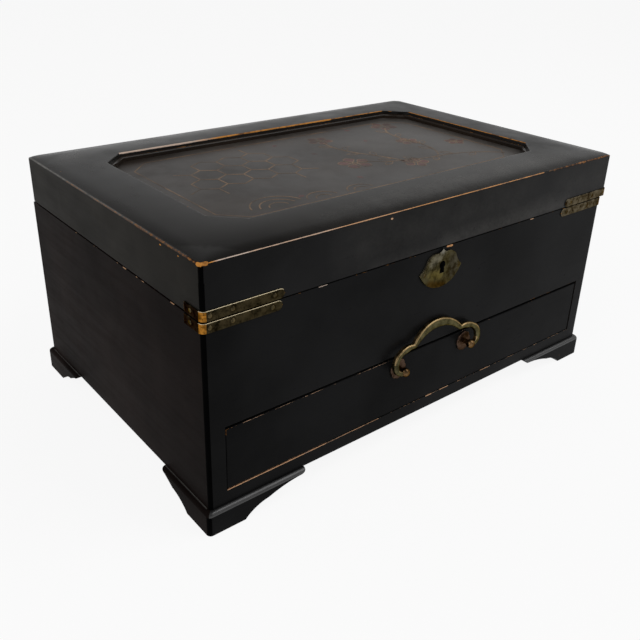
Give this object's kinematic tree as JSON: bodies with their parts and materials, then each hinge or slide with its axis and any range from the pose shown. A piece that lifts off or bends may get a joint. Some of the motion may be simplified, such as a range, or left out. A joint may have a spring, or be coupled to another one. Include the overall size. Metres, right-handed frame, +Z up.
{
  "type": "jewelry box",
  "caption": "Black lacquered jewelry box on bracket feet, with a hinged lid that has a recessed panel, a lined compartment, a drawer with a bail handle, and brass fittings and lock.",
  "frame": {"origin": "under the middle of the part, on the plane of the feet's soles", "axes": "+X to the right along the front, +Y to the back, +Z up"},
  "size_m": [0.3068, 0.2088, 0.1461],
  "materials": {
    "lacquer": "semi-gloss black lacquer, worn at the edges",
    "panel_lacquer": "glossy dark lacquer with a faint painted design",
    "bare_wood": "unfinished wood",
    "brass": "aged brass with a dark patina",
    "lock_metal": "plain steel",
    "velvet": "dark red velvet"
  },
  "bodies": {
    "case": {"left_side": "lacquer", "right_side": "lacquer", "front_panel": "lacquer", "back_board": "lacquer", "bottom_board": "lacquer", "compartment_floor": "bare_wood", "front_left_foot_wide_bracket": "lacquer", "front_left_foot_side_bracket": "lacquer", "front_right_foot_wide_bracket": "lacquer", "front_right_foot_side_bracket": "lacquer", "back_right_foot_wide_bracket": "lacquer", "back_right_foot_side_bracket": "lacquer", "back_left_foot_wide_bracket": "lacquer", "back_left_foot_side_bracket": "lacquer", "foot_blocks": "bare_wood", "left_case_strap": "brass", "right_case_strap": "brass", "case_nails": "brass", "keyhole_plate": "brass", "lock_case": "lock_metal", "lock_selvedge": "brass", "case_screws": "brass", "left_lower_hinge_leaf": "brass", "right_lower_hinge_leaf": "brass", "hinge_pins": "brass", "drawer_stops": "bare_wood", "compartment_linings": "velvet", "compartment_pad": "velvet", "compartment_partition": "velvet"},
    "lid": {"left_lid_side": "lacquer", "right_lid_side": "lacquer", "lid_front_board": "lacquer", "lid_back_board": "lacquer", "front_top_rail": "lacquer", "right_top_rail": "lacquer", "back_top_rail": "lacquer", "left_top_rail": "lacquer", "lid_panel": "panel_lacquer", "recess_bead": "lacquer", "lid_pad": "velvet", "left_lid_strap": "brass", "right_lid_strap": "brass", "lid_nails": "brass", "strike_plate": "brass", "lid_screws": "brass", "left_upper_hinge_leaf": "brass", "right_upper_hinge_leaf": "brass"},
    "drawer": {"drawer_front": "lacquer", "drawer_left_side": "bare_wood", "drawer_right_side": "bare_wood", "drawer_back": "bare_wood", "drawer_bottom": "bare_wood", "drawer_pad": "velvet", "left_rosette": "brass", "right_rosette": "brass", "left_handle_post": "brass", "right_handle_post": "brass"},
    "bail": {"bail": "brass"},
    "bolt": {"lock_bolt": "lock_metal"}
  },
  "joints": [
    {"name": "lid_hinge", "type": "hinge", "parent": "case", "child": "lid", "pos_m": [0, 0.0995, 0.1165], "axis": [-1, 0, 0], "range_deg": [0, 98]},
    {"name": "drawer_slide", "type": "slide", "parent": "case", "child": "drawer", "axis": [0, -1, 0], "range_m": [0, 0.13]},
    {"name": "bail_swing", "type": "hinge", "parent": "drawer", "child": "bail", "pos_m": [0, -0.1018, 0.0503], "axis": [1, 0, 0], "range_deg": [0, 200]},
    {"name": "bolt_slide", "type": "slide", "parent": "case", "child": "bolt", "axis": [1, 0, 0], "range_m": [0, 0.004]}
  ]
}
